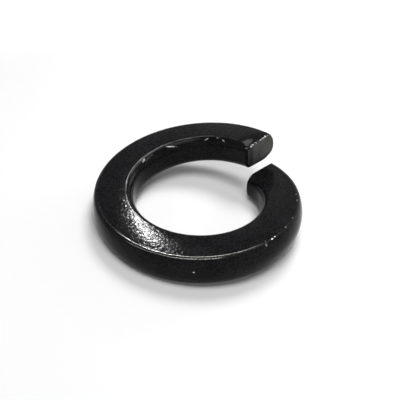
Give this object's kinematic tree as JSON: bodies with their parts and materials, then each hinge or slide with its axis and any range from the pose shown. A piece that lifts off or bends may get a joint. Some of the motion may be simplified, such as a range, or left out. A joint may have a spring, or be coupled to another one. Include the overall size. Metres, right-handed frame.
{
  "type": "spring lock washer",
  "caption": "Split helical spring lock washer in blackened spring steel, with a plain round bore and parted ends that stand apart in height.",
  "frame": {"origin": "on the bore axis, level with the lowest point of the low end", "axes": "+Z along the bore axis, towards the nut side, where the raised end is; +X from the bore axis through the middle of the split"},
  "size_m": [0.02, 0.02, 0.0063],
  "materials": {
    "blackened_steel": "black oxide over drawn spring steel, satin, rubbed to bare metal along its edges"
  },
  "bodies": {
    "root": {"spring_washer": "blackened_steel"}
  },
  "joints": []
}
